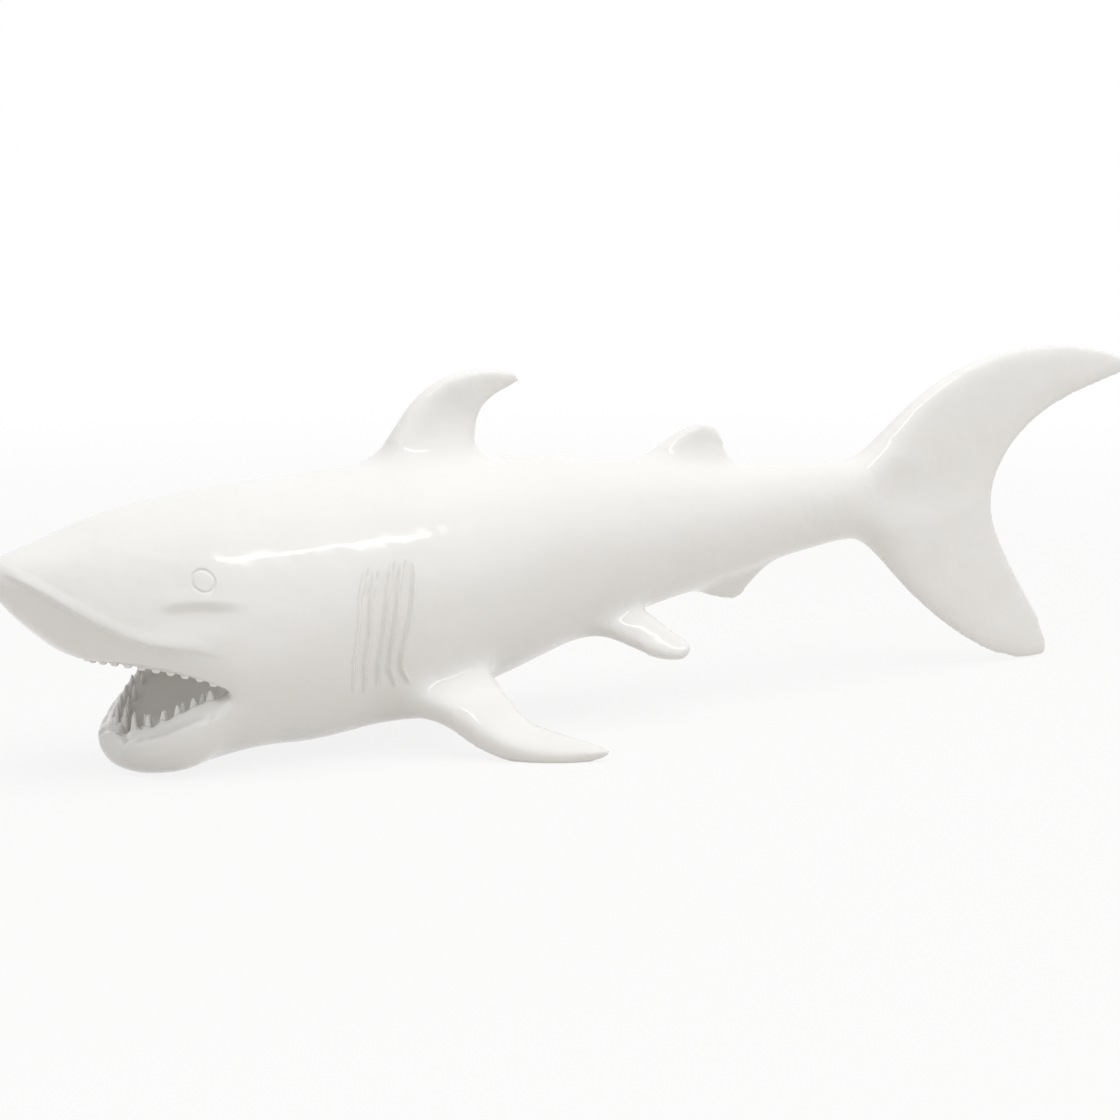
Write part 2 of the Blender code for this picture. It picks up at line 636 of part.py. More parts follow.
def teeth():
    """All the teeth, as closed cones in one mesh."""
    mesh = bmesh.new()
    upper = [(0.0355, 0.0, UPPER_LIP[0][2])] + [p for p in UPPER_LIP]
    lower = [(JAW_RIM[0][0] + 0.002, 0.0, JAW_RIM[0][2])] + [p for p in JAW_RIM]
    gum = GUM_RISE * GUM_SEAT
    rows = [
        (upper, UPPER_TEETH, UPPER_TOOTH_INSET, 0, UPPER_TOOTH_HEIGHT, UPPER_TOOTH_RADIUS, UPPER_SPAN, -1),
        (lower, LOWER_TEETH, LOWER_TOOTH_INSET, gum, LOWER_TOOTH_HEIGHT, LOWER_TOOTH_RADIUS, LOWER_SPAN, 1),
        (lower, INNER_TEETH, INNER_TOOTH_INSET, gum, INNER_TOOTH_HEIGHT, INNER_TOOTH_RADIUS, INNER_SPAN, 1),
    ]
    for row in rows:
        tooth_row(mesh, *row)
    bmesh.ops.recalc_face_normals(mesh, faces=mesh.faces)
    return helper("tooth_stock", mesh)


def half_width_of(skin, x, z):
    """How far the rounded body's side lies from the middle at this place."""
    hit = skin.ray_cast(Vector((x, 1.0, z)), Vector((0, -1, 0)))[0]
    return hit.y


def gill_cutter(skin, slit, side):
    """A thin bent wedge that cuts one gill slit, with a steep rear wall."""
    mesh = bmesh.new()
    rows = []
    for step in range(GILL_STEPS + 1):
        share = step / GILL_STEPS
        fade = math.sin(math.pi * min(max(share, 0.06), 0.94)) ** 0.35
        x, z = along(GILL_SLITS[slit], share)[:2]
        surface = half_width_of(skin, x, z)
        outer = surface + 2 * GILL_DEPTH
        inner = surface - GILL_DEPTH * (2 * fade - 1)
        corners = ((x - GILL_WIDTH * 2, outer), (x + GILL_WIDTH * 0.5, outer), (x, inner))
        rows.append([mesh.verts.new((cx, side * y, z)) for cx, y in corners])
    for upper, lower in zip(rows, rows[1:]):
        for i in range(3):
            j = (i + 1) % 3
            mesh.faces.new((upper[i], upper[j], lower[j], lower[i]))
    mesh.faces.new(rows[0])
    mesh.faces.new(rows[-1])
    bmesh.ops.recalc_face_normals(mesh, faces=mesh.faces)
    name = f"gill_cutter_{'left' if side < 0 else 'right'}_{slit + 1}"
    return helper(name, mesh)


def eye_cutter(skin, side):
    """A ring that scribes the eye into the side of the head."""
    x, z = EYE_CENTRE
    step = EYE_RADIUS
    surface = Vector((x, half_width_of(skin, x, z), z))
    back = Vector((x + step, half_width_of(skin, x + step, z), z)) - surface
    up = Vector((x, half_width_of(skin, x, z + step), z + step)) - surface
    normal = back.cross(up).normalized()
    normal = normal if normal.y > 0 else -normal
    across = back.normalized()
    beside = normal.cross(across)
    mesh = bmesh.new()
    circles = []
    for i in range(EYE_SEGMENTS):
        turn = 2 * math.pi * i / EYE_SEGMENTS
        outward = across * math.cos(turn) + beside * math.sin(turn)
        foot = surface + outward * EYE_RADIUS
        foot.y = half_width_of(skin, foot.x, foot.z)
        ring = []
        for j in range(EYE_GROOVE_SEGMENTS):
            tilt = 2 * math.pi * (j + 0.3) / EYE_GROOVE_SEGMENTS
            point = foot + (outward * math.cos(tilt) + normal * (math.sin(tilt) + 0.2)) * EYE_GROOVE
            ring.append(mesh.verts.new((point.x, side * point.y, point.z)))
        circles.append(ring)
    for i, ring in enumerate(circles):
        following = circles[(i + 1) % EYE_SEGMENTS]
        for j in range(EYE_GROOVE_SEGMENTS):
            n = (j + 1) % EYE_GROOVE_SEGMENTS
            mesh.faces.new((ring[j], ring[n], following[n], following[j]))
    bmesh.ops.recalc_face_normals(mesh, faces=mesh.faces)
    return helper(f"eye_cutter_{'left' if side < 0 else 'right'}", mesh)


def floor_cutter():
    """The block below the surface it stands on, which grinds the four resting places flat."""
    mesh = bmesh.new()
    bmesh.ops.create_cube(mesh, size=FLOOR_BLOCK_SIZE)
    bmesh.ops.translate(mesh, verts=mesh.verts, vec=(FLOOR_BLOCK_SIZE / 4, 0, -FLOOR_BLOCK_SIZE / 2))
    return helper("floor_cutter", mesh)


def add_boolean(target, tool, operation):
    modifier = target.modifiers.new(tool.name, "BOOLEAN")
    modifier.operation = operation
    modifier.object = tool
    modifier.solver = "EXACT"
    modifier.use_self = operation == "UNION"


def gloss_resin():
    material = bpy.data.materials.new("white_gloss_resin")
    material.use_nodes = True
    shader = material.node_tree.nodes["Principled BSDF"]
    shader.inputs["Base Color"].default_value = RESIN_WHITE
    shader.inputs["Roughness"].default_value = RESIN_ROUGHNESS
    shader.inputs["Metallic"].default_value = 0.0
    return material


def centre_on_floor(body, parts):
    """Puts the bottom centre of the finished body's box at the origin."""
    bpy.context.view_layer.update()
    evaluated = body.evaluated_get(bpy.context.evaluated_depsgraph_get())
    finished = evaluated.to_mesh()
    across = [vertex.co.x for vertex in finished.vertices]
    evaluated.to_mesh_clear()
    frame = bpy.data.objects.new("shark_frame", None)
    bpy.context.scene.collection.objects.link(frame)
    frame.location.x = -(min(across) + max(across)) / 2
    for part in parts:
        part.parent = frame


def main():
    for old in list(bpy.data.objects):
        bpy.data.objects.remove(old)
    body = new_object("shark_figurine", shark_cage())
    body.data.materials.append(gloss_resin())
    rounding = body.modifiers.new("rounding", "SUBSURF")
    rounding.levels = 1
    rounding.render_levels = 1
    bpy.context.view_layer.update()
    skin = BVHTree.FromObject(body, bpy.context.evaluated_depsgraph_get())
    tools = [teeth()]
    add_boolean(body, tools[0], "UNION")
    cutters = [eye_cutter(skin, side) for side in (-1, 1)]
    cutters += [gill_cutter(skin, slit, side) for side in (-1, 1) for slit in range(len(GILL_SLITS))]
    cutters.append(floor_cutter())
    for cutter in cutters:
        add_boolean(body, cutter, "DIFFERENCE")
    centre_on_floor(body, [body, *tools, *cutters])
    body.data.shade_smooth()


main()
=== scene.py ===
"""A gloss white shark figurine, cast in one piece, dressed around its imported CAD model.

The casting starts as a copy of the CAD node. It is rounded, remeshed evenly, and then its gill flaps,
eyes, creases and fin roots are worked into it. The teeth are modelled once and copied round both jaws.
Sizes are in metres. X runs from the nose back to the tail, and the figurine stands on Z = 0.
"""

import json
import math

import bpy
from mathutils import Matrix, Vector

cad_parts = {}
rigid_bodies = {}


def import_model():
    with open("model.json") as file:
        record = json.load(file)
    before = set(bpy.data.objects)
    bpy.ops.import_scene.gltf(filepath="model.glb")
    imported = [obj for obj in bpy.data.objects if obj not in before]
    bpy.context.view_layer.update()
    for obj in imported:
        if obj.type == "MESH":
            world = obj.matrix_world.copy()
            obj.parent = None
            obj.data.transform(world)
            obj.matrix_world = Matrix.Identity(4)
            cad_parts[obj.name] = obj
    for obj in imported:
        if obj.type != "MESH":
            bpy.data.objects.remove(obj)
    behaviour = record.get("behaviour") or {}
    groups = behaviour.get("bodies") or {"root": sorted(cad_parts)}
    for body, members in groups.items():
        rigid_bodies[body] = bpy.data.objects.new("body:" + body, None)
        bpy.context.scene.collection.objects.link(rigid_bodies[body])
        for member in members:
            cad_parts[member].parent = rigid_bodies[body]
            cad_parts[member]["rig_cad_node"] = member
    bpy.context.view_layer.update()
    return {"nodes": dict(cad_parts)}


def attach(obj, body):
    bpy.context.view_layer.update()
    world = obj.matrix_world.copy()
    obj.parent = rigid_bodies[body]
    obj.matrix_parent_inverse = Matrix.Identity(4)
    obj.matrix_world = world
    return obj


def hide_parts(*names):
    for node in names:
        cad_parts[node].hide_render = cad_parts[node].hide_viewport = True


bl_info = {
    "name": "Gloss White Shark Figurine",
    "version": (1, 0, 0),
    "blender": (4, 5, 0),
    "location": "View3D > Sidebar > Shark",
    "description": "Casts a gloss white shark figurine and sets up a plain studio around it",
    "category": "Object",
}

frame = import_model()
NODE = "shark_figurine"
BODY = "root"

# The front end of the casting: every size along it was taken as a distance behind this point
NOSE_X = -0.29743

# In the tables below a point is given as distance behind the nose and height
# The five gill slits, from the top down, front slit first
GILL_LINES = [
    [(0.1440, 0.0837), (0.1394, 0.0702), (0.1383, 0.0580), (0.1368, 0.0433), (0.1395, 0.0290)],
    [(0.1482, 0.0822), (0.1444, 0.0698), (0.1439, 0.0575), (0.1426, 0.0427), (0.1450, 0.0285)],
    [(0.1563, 0.0848), (0.1519, 0.0691), (0.1506, 0.0568), (0.1489, 0.0420), (0.1508, 0.0314)],
    [
        (0.1616, 0.0851), (0.1574, 0.0726), (0.1566, 0.0645),
        (0.1540, 0.0460), (0.1545, 0.0390), (0.1598, 0.0300),
    ],
    [
        (0.1670, 0.0839), (0.1648, 0.0720), (0.1636, 0.0637),
        (0.1598, 0.0452), (0.1604, 0.0390), (0.1662, 0.0312),
    ],
]
# The patch of skin that the gill slits lie in: its front low corner and its rear high corner
GILL_PATCH = ((0.130, 0.025), (0.174, 0.088))
# How far each gill line stands proud, as a share of the gill lift, at its top and at its bottom
GILL_PROUD = [(-0.2, -0.4), (0.4, 0.2), (0.9, 1.2), (1.0, 1.6), (1.1, 1.8)]
EYE_CENTRE = (0.0741, 0.0821)
# The fold under the eye, front to back
EYE_FOLD = [(0.0560, 0.0736), (0.0642, 0.0744), (0.0720, 0.0746), (0.0790, 0.0742), (0.0850, 0.0734)]
# The hard ridge from the nose to above the mouth corner
SNOUT_RIDGE = [
    (0.0015, 0.0876), (0.0154, 0.0784), (0.0237, 0.0723), (0.0324, 0.0669), (0.0416, 0.0617),
    (0.0508, 0.0581), (0.0603, 0.0565), (0.0698, 0.0552), (0.0849, 0.0505),
]
# How much of a height difference on the snout runs along its slanted side
SNOUT_SLANT = 0.85
# The hollow in the rear half of the dorsal fin: its middle, half its length and height, and its depth
DORSAL_HOLLOW = ((0.2085, 0.1390), (0.0145, 0.0165), 0.0010)
# The hollow behind the round of the body, at the root of the tail blade: as for the dorsal fin
TAIL_HOLLOW = ((0.4420, 0.0870), (0.0300, 0.0190), 0.0018)
# The upper edge of the lower tail lobe
LOBE_EDGE = [(0.4540, 0.0712), (0.4645, 0.0737), (0.4978, 0.0796), (0.5040, 0.0800)]

# Lips, from the middle back to the mouth corner (distance behind the nose, half width, height)
UPPER_LIP = [
    (0.0355, 0.0, 0.0485), (0.036, 0.0105, 0.0485), (0.040, 0.0175, 0.0482), (0.047, 0.0240, 0.0472),
    (0.061, 0.0320, 0.0440), (0.072, 0.0380, 0.0410), (0.084, 0.0455, 0.0355),
]
JAW_RIM = [
    (0.0508, 0.0, 0.0140), (0.0488, 0.0120, 0.0140), (0.053, 0.0205, 0.0155), (0.059, 0.0280, 0.0192),
    (0.0665, 0.0348, 0.0242), (0.075, 0.0412, 0.0298), (0.084, 0.0455, 0.0355),
]
# How far a tooth's base is sunk into the gum, how far its tip leans out, and how far along the lip the
# next point is read for its direction
TOOTH_ROOT, TOOTH_LEAN, LIP_STEP = 0.0012, 0.12, 0.04

# The skin is cut level here, a hair above the floor, where the figurine stands on it
FLOOR_CUT = 0.00002

# Lamps: place, aim, size, watts, and whether the gloss shows the lamp's shape
LAMPS = {
    "soft_box": ((0.1, -0.40, 1.5), (0.1, 0, 0), (2.4, 1.2), 17.5, False),
    "strip_light": ((0.50, -1.2, 1.53), (0.50, 0, 0.08), (1.25, 0.09), 3.0, True),
    "nose_light": ((-1.07, -1.2, 1.65), (-0.28, 0, 0.09), (0.18, 0.12), 0.4, True),
}
ROOM_LIGHT = 0.5


def linear(hex_colour):
    """An sRGB hex value as a linear colour."""
    channels = [int(hex_colour[i : i + 2], 16) / 255 for i in (0, 2, 4)]
    return tuple(c / 12.92 if c <= 0.04045 else ((c + 0.055) / 1.055) ** 2.4 for c in channels)


class SharkCasting(bpy.types.PropertyGroup):
    """Sizes of the casting."""

    grain: bpy.props.FloatProperty(
        name="Mesh grain", description="Edge length of the remeshed skin",
        default=0.0013, min=0.0008, max=0.004, unit="LENGTH",
    )
    allowance: bpy.props.FloatProperty(
        name="Rubbing allowance", description="Skin added before the surface is rubbed smooth",
        default=0.00035, unit="LENGTH",
    )
    polish: bpy.props.IntProperty(
        name="Polish", description="How often the remeshed skin is smoothed", default=8, min=0, max=30,
    )
    ripple: bpy.props.FloatProperty(
        name="Ripple", description="Height of the waves that hand rubbing left",
        default=0.0005, unit="LENGTH",
    )
    gill_lift: bpy.props.FloatProperty(
        name="Gill lift", description="How far a gill line stands proud",
        default=0.00045, unit="LENGTH",
    )
    gill_sink: bpy.props.FloatProperty(
        name="Gill sink", description="How deep the strips between the gill lines lie",
        default=0.0012, unit="LENGTH",
    )
    ridge_sharpness: bpy.props.FloatProperty(
        name="Ridge sharpness", description="How far the band under the snout ridge is cut back",
        default=0.0016, unit="LENGTH",
    )
    eye_radius: bpy.props.FloatProperty(
        name="Eye radius", description="Radius of the scribed ring", default=0.0043, unit="LENGTH",
    )
    eye_groove: bpy.props.FloatProperty(
        name="Eye groove", description="Depth of the scribed ring", default=0.0006, unit="LENGTH",
    )
    face_budget: bpy.props.IntProperty(
        name="Face budget", description="How many triangles the finished skin keeps", default=190000,
    )


class SharkFinish(bpy.types.PropertyGroup):
    """Colours of the casting and of the studio."""

    lacquer: bpy.props.FloatVectorProperty(
        name="Lacquer", description="Body colour of the white lacquer",
        subtype="COLOR", size=3, default=linear("F2F1EF"),
    )
    lacquer_shade: bpy.props.FloatVectorProperty(
        name="Lacquer shade", description="The slightly warmer tone where the coat pooled",
        subtype="COLOR", size=3, default=linear("EDEBE7"),
    )
    paper: bpy.props.FloatVectorProperty(
        name="Paper", description="Colour that the floor throws back on the casting",
        subtype="COLOR", size=3, default=linear("DEDBD7"),
    )


def deselect_all():
    """Nothing selected and no object in edit mode."""
    if bpy.context.object and bpy.context.object.mode != "OBJECT":
        bpy.ops.object.mode_set(mode="OBJECT")
    bpy.ops.object.select_all(action="DESELECT")


def choose(piece):
    """Makes one piece the selected and active one."""
    deselect_all()
    piece.select_set(True)
    bpy.context.view_layer.objects.active = piece


def apply_modifier(piece, kind, **settings):
    """Adds a modifier to a piece, sets it up and applies it."""
    choose(piece)
    bpy.ops.object.modifier_add(type=kind)
    modifier = piece.modifiers[-1]
    for name, value in settings.items():
        setattr(modifier, name, value)
    bpy.ops.object.modifier_apply(modifier=modifier.name)


def select_faces(piece, wanted):
    """Selects the faces whose centre passes a test, and enters edit mode on them."""
    choose(piece)
    for vertex in piece.data.vertices:
        vertex.select = False
    for edge in piece.data.edges:
        edge.select = False
    for face in piece.data.polygons:
        face.select = wanted(face.center, face.normal)
    bpy.ops.object.mode_set(mode="EDIT")
    bpy.ops.mesh.select_mode(type="FACE")


def refine(piece, wanted, cuts=1):
    """Cuts the chosen faces finer and relaxes the new points."""
    select_faces(piece, wanted)
    bpy.ops.mesh.subdivide(number_cuts=cuts, smoothness=0.0)
    bpy.ops.mesh.vertices_smooth(factor=0.5, repeat=1)
    bpy.ops.object.mode_set(mode="OBJECT")


def line_at(line, z):
    """Where a line of (x, z) points, from the top down, lies at this height."""
    z = min(max(z, line[-1][1]), line[0][1])
    for (x0, z0), (x1, z1) in zip(line, line[1:]):
        if z >= z1:
            return x0 + (x1 - x0) * (z0 - z) / (z0 - z1)
    return line[-1][0]


def line_height(line, x):
    """How high a line of (x, z) points, from front to back, lies at this distance behind the nose."""
    x = min(max(x, line[0][0]), line[-1][0])
    for (x0, z0), (x1, z1) in zip(line, line[1:]):
        if x <= x1:
            return z0 + (z1 - z0) * (x - x0) / (x1 - x0)
    return line[-1][1]


def ease(value):
    """A smooth step from 0 to 1."""
    value = min(max(value, 0.0), 1.0)
    return value * value * (3 - 2 * value)


def press(piece, depth_at):
    """Moves the skin along its normals by depth_at(point, normal) metres, raised or sunk."""
    depths = [depth_at(v.co, v.normal) for v in piece.data.vertices]
    for name, sign in (("raised", 1.0), ("sunk", -1.0)):
        amounts = [max(depth * sign, 0.0) for depth in depths]
        most = max(amounts)
        if most <= 0:
            continue
        group = piece.vertex_groups.new(name=name)
        for index, amount in enumerate(amounts):
            if amount > 0:
                group.add([index], amount / most, "REPLACE")
        apply_modifier(
            piece, "DISPLACE", direction="NORMAL", mid_level=0.0, strength=sign * most, vertex_group=name
        )
    choose(piece)
    bpy.ops.object.vertex_group_remove(all=True)


def bump(distance, half_width):
    """1 on a line, easing to 0 at half_width from it."""
    return ease(1 - abs(distance) / half_width)


def in_gills(centre, normal):
    """Whether a place lies in the patch of the gill slits, on either side."""
    (front, low), (rear, high) = GILL_PATCH
    return front < centre.x - NOSE_X < rear and low < centre.z < high and abs(normal.y) > 0.3


def gill_depth(settings):
    """Five lines, each with a groove in front and a sunk strip behind. The rear lines stand proud."""
    lift, sink = settings.gill_lift, settings.gill_sink
    strip_fade_top, strip_fade_low = 0.013, 0.012
    front_wall, rear_slope = 0.0010, 0.0022
    notch_share, notch_behind, notch_width, notch_below, notch_height = 0.6, 0.0010, 0.0010, 0.0034, 0.0036
    rim_fade_top, rim_fade_low, rim_width = 0.006, 0.003, 0.0009
    groove_share, groove_ahead, groove_width = 0.55, 0.0012, 0.0008

    def depth_at(point, normal):
        x, z = point.x - NOSE_X, point.z
        if not in_gills(point, normal):
            return 0.0
        total = 0.0
        marks = [line_at(line, z) for line in GILL_LINES]
        for line, ahead, behind in zip(GILL_LINES, marks, marks[1:]):
            top, low = line[0][1], line[-1][1]
            if not (ahead < x < behind and low < z < top):
                continue
            ends = ease((top - z) / strip_fade_top) * ease((z - low) / strip_fade_low)
            total -= sink * ends * ease((x - ahead) / front_wall) * ease((behind - x) / rear_slope)
            across = bump(x - ahead - notch_behind, notch_width)
            total -= notch_share * sink * across * bump(top - z - notch_below, notch_height)
        for line, mark, (high, deep) in zip(GILL_LINES, marks, GILL_PROUD):
            top, low = line[0][1], line[-1][1]
            ends = ease((top - z) / rim_fade_top) * ease((z - low) / rim_fade_low)
            proud = deep + (high - deep) * (z - low) / (top - low)
            total += lift * proud * ends * bump(x - mark, rim_width)
            total -= groove_share * sink * ends * bump(x - mark + groove_ahead, groove_width)
        return total

    return depth_at


def near_eye(radius):
    """A test for faces within a radius of either eye."""

    def wanted(centre, normal):
        away = Vector((centre.x - NOSE_X - EYE_CENTRE[0], centre.z - EYE_CENTRE[1])).length
        return away < radius and abs(normal.y) > 0.2

    return wanted


def eye_depth(settings):
    """A ring scribed round a plain disc."""
    half_width, reach = 0.0008, 0.01

    def depth_at(point, normal):
        away = Vector((point.x - NOSE_X - EYE_CENTRE[0], point.z - EYE_CENTRE[1])).length
        if abs(normal.y) < 0.2 or away > reach:
            return 0.0
        return -settings.eye_groove * bump(away - settings.eye_radius, half_width)

    return depth_at


def on_head(centre, normal):
    """Whether a place lies on the side of the upper jaw, the snout or round the eye."""
    x = centre.x - NOSE_X
    return x < 0.090 and 0.042 < centre.z < 0.091 and abs(normal.y) > 0.2


def on_rim(centre, normal):
    """Whether a place lies on the rim of the lower jaw or in its channel."""
    x = centre.x - NOSE_X
    return 0.044 < x < 0.086 and 0.010 < centre.z < 0.046


def ridge_depth(sharpness):
    """A hard ridge along the snout, with the band under it cut back."""
    crest_share, crest_reach = 0.45, 0.005
    cut_height, band_start, band_height = 0.0022, 0.002, 0.014

    def depth_at(point, normal):
        x, z = point.x - NOSE_X, point.z
        if abs(normal.y) < 0.15 or x > 0.085:
            return 0.0
        below = (line_height(SNOUT_RIDGE, x) - z) * SNOUT_SLANT
        fade = ease((x + 0.002) / 0.010) * (1 - ease((x - 0.050) / 0.034))
        if below < -crest_reach or below > band_start + band_height:
            return 0.0
        if below < 0:
            return crest_share * sharpness * fade * ease(1 + below / crest_reach)
        cut = ease(below / cut_height)
        band = 1 - ease((below - band_start) / band_height)
        return fade * sharpness * (crest_share * (1 - cut) - cut * band)

    return depth_at


def fold_depth(point, normal):
    """A soft lip under the eye, over a broad hollow."""
    lip_proud, lip_reach = 0.0004, 0.006
    hollow_depth, cut_height, hollow_height = 0.0017, 0.0050, 0.018
    x, z = point.x - NOSE_X, point.z
    if abs(normal.y) < 0.2 or not 0.048 < x < 0.100:
        return 0.0
    below = line_height(EYE_FOLD, x) - z
    ends = ease((x - 0.052) / 0.012) * ease((0.094 - x) / 0.020)
    if below < -lip_reach or below > hollow_height:
        return 0.0
    if below < 0:
        return lip_proud * ends * ease(1 + below / lip_reach)
    cut = ease(below / cut_height)
    return ends * (lip_proud * (1 - cut) - hollow_depth * cut * (1 - ease(below / hollow_height)))


def rim_depth(point, normal):
    """A channel between the rim of the lower jaw and the gum that carries the teeth."""
    channel_depth, rim_wall, gum_start, gum_wall = 0.0022, 0.0012, 0.0030, 0.0035
    level_reach = 0.0075
    x, y, z = point.x - NOSE_X, abs(point.y), point.z
    if not on_rim(point, normal) or normal.z < 0.1:
        return 0.0
    best, inset = 1.0, 0.0
    for a, b in zip(JAW_RIM, JAW_RIM[1:]):
        step = Vector((b[0] - a[0], b[1] - a[1]))
        offset = Vector((x - a[0], y - a[1]))
        share = min(max(offset.dot(step) / step.length_squared, 0.0), 1.0)
        away = (offset - step * share).length
        if away < best and abs(z - a[2] - (b[2] - a[2]) * share) < level_reach:
            best = away
            inset = (offset.x * step.y - offset.y * step.x) / step.length
    if best == 1.0 or inset < 0:
        return 0.0
    corner = ease((0.082 - x) / 0.008)
    return -channel_depth * corner * ease(inset / rim_wall) * (1 - ease((inset - gum_start) / gum_wall))


def in_channel(centre, normal):
    """Whether a place lies well inside the jaw channel."""
    return rim_depth(centre, normal) < -0.0004


def hollow(point, middle, half_size, depth):
    """The press depth of an oval hollow, deepest in its middle and 0 at its edge."""
    along_x = (point.x - NOSE_X - middle[0]) / half_size[0]
    along_z = (point.z - middle[1]) / half_size[1]
    return -depth * ease(1 - Vector((along_x, along_z)).length)


def dorsal_depth(point, normal):
    """The hollow in the rear half of the dorsal fin."""
    if abs(normal.y) < 0.4 or point.z < 0.120:
        return 0.0
    return hollow(point, *DORSAL_HOLLOW)


def tail_depth(point, normal):
    """A hollow behind the round of the body, and the soft edge that the lower lobe starts with."""
    x, z = point.x - NOSE_X, point.z
    if x < 0.405 or abs(normal.y) < 0.3:
        return 0.0
    total = hollow(point, *TAIL_HOLLOW)
    edge_proud, edge_above, edge_rise, edge_fall = 0.0007, 0.008, 0.012, 0.028
    if 0.452 < x < 0.506:
        under = line_height(LOBE_EDGE, x) - z
        ends = ease((x - 0.452) / 0.016) * ease((0.506 - x) / 0.014)
        if -edge_above < under < edge_fall:
            rise = ease((under + edge_above) / edge_rise)
            total += edge_proud * ends * rise * (1 - ease(under / edge_fall))
    return total


def soften(piece, wanted, repeat):
    """Rubs the chosen faces smooth."""
    select_faces(piece, wanted)
    bpy.ops.mesh.vertices_smooth(factor=0.5, repeat=repeat)
    bpy.ops.object.mode_set(mode="OBJECT")


def inside_box(low, high):
    """A test for faces whose centre lies in a box, on either side of the middle plane. The box is given
    as distance behind the nose, distance from the middle and height."""

    def wanted(centre, normal):
        place = (centre.x - NOSE_X, abs(centre.y), centre.z)
        return all(a < value < b for a, value, b in zip(low, place, high))

    return wanted


# Where the skin is rubbed smooth before the carving, and how often
SOFT_PLACES = [
    (in_gills, 24),
    # The roots of the dorsal fin and of the second dorsal fin
    (inside_box((0.165, 0.0, 0.1120), (0.236, 0.030, 0.1270)), 24),
    (inside_box((0.305, 0.0, 0.1010), (0.362, 0.020, 0.1150)), 16),
    # The roots of the pectoral fins, from a wide box to a narrow one
    (inside_box((0.146, 0.028, 0.0060), (0.240, 0.068, 0.0540)), 8),
    (inside_box((0.150, 0.032, 0.0080), (0.228, 0.060, 0.0510)), 10),
    (inside_box((0.154, 0.034, 0.0100), (0.220, 0.054, 0.0480)), 20),
    # The roots of the pelvic fins and of the anal fin
    (inside_box((0.256, 0.014, 0.0300), (0.308, 0.034, 0.0560)), 24),
    (inside_box((0.328, 0.0, 0.0480), (0.386, 0.016, 0.0660)), 10),
    # The root of the tail, from a wide box to a narrow one
    (inside_box((0.404, 0.0, 0.0520), (0.490, 0.016, 0.1400)), 5),
    (inside_box((0.408, 0.0, 0.0560), (0.472, 0.016, 0.1240)), 5),
    (inside_box((0.412, 0.0, 0.0600), (0.456, 0.016, 0.1120)), 8),
    # The tip of the lower tail lobe
    (inside_box((0.515, 0.0, 0.0000), (0.556, 0.010, 0.0160)), 10),
]


class SHARK_OT_casting(bpy.types.Operator):
    """Cast the body, fins and jaws as one smooth skin."""

    bl_idname = "shark.casting"
    bl_label = "Cast the shark"

    def execute(self, context):
        settings = context.scene.shark_casting
        node = frame["nodes"][NODE]
        choose(node)
        bpy.ops.object.duplicate()
        body = context.view_layer.objects.active
        body.name = "shark"
        body.data.name = "shark"
        del body["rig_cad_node"]
        body.data.materials.clear()
        bpy.ops.object.mode_set(mode="EDIT")
        bpy.ops.mesh.select_all(action="SELECT")
        bpy.ops.mesh.remove_doubles(threshold=1e-5)
        bpy.ops.mesh.tris_convert_to_quads(face_threshold=math.radians(60), shape_threshold=math.radians(60))
        bpy.ops.object.mode_set(mode="OBJECT")
        apply_modifier(body, "SUBSURF", levels=1, render_levels=1)
        apply_modifier(body, "DISPLACE", direction="NORMAL", mid_level=0.0, strength=settings.allowance)
        apply_modifier(body, "REMESH", mode="VOXEL", voxel_size=settings.grain, adaptivity=0.0)
        apply_modifier(body, "SMOOTH", factor=0.5, iterations=settings.polish)
        for wanted, repeat in SOFT_PLACES:
            soften(body, wanted, repeat)
        bpy.ops.object.shade_smooth()
        body.data.materials.append(lacquered_resin(context.scene.shark_finish))
        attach(body, BODY)
        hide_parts(NODE)
        return {"FINISHED"}


class SHARK_OT_carving(bpy.types.Operator):
    """Carve the snout ridge, the folds under the eyes, the jaw channel, the dorsal hollow and the tail."""

    bl_idname = "shark.carving"
    bl_label = "Carve the forms"

    def execute(self, context):
        body = bpy.data.objects["shark"]
        settings = context.scene.shark_casting
        refine(body, on_head)
        refine(body, on_rim)
        press(body, ridge_depth(settings.ridge_sharpness))
        for depth_at in (fold_depth, rim_depth, dorsal_depth, tail_depth):
            press(body, depth_at)
        soften(body, in_channel, 8)
        waves = bpy.data.textures.new("hand_rubbing", "CLOUDS")
        waves.noise_scale = 0.030
        waves.noise_depth = 1
        apply_modifier(
            body, "DISPLACE", texture=waves, direction="NORMAL", mid_level=0.5, strength=settings.ripple
        )
        # The four places it stands on are ground flat
        bpy.ops.object.mode_set(mode="EDIT")
        bpy.ops.mesh.select_all(action="SELECT")
        bpy.ops.mesh.bisect(
            plane_co=(0, 0, FLOOR_CUT), plane_no=(0, 0, 1), clear_inner=True, use_fill=True, threshold=1e-6
        )
        bpy.ops.object.mode_set(mode="OBJECT")
        return {"FINISHED"}


class SHARK_OT_gills(bpy.types.Operator):
    """Work the overlapping gill flaps into both sides."""

    bl_idname = "shark.gills"
    bl_label = "Work the gills"

    def execute(self, context):
        body = bpy.data.objects["shark"]
        refine(body, in_gills)
        refine(body, in_gills)
        press(body, gill_depth(context.scene.shark_casting))
        return {"FINISHED"}


class SHARK_OT_eyes(bpy.types.Operator):
    """Scribe the eyes."""

    bl_idname = "shark.eyes"
    bl_label = "Scribe the eyes"

    def execute(self, context):
        body = bpy.data.objects["shark"]
        refine(body, near_eye(0.0068))
        refine(body, near_eye(0.0062))
        press(body, eye_depth(context.scene.shark_casting))
        return {"FINISHED"}


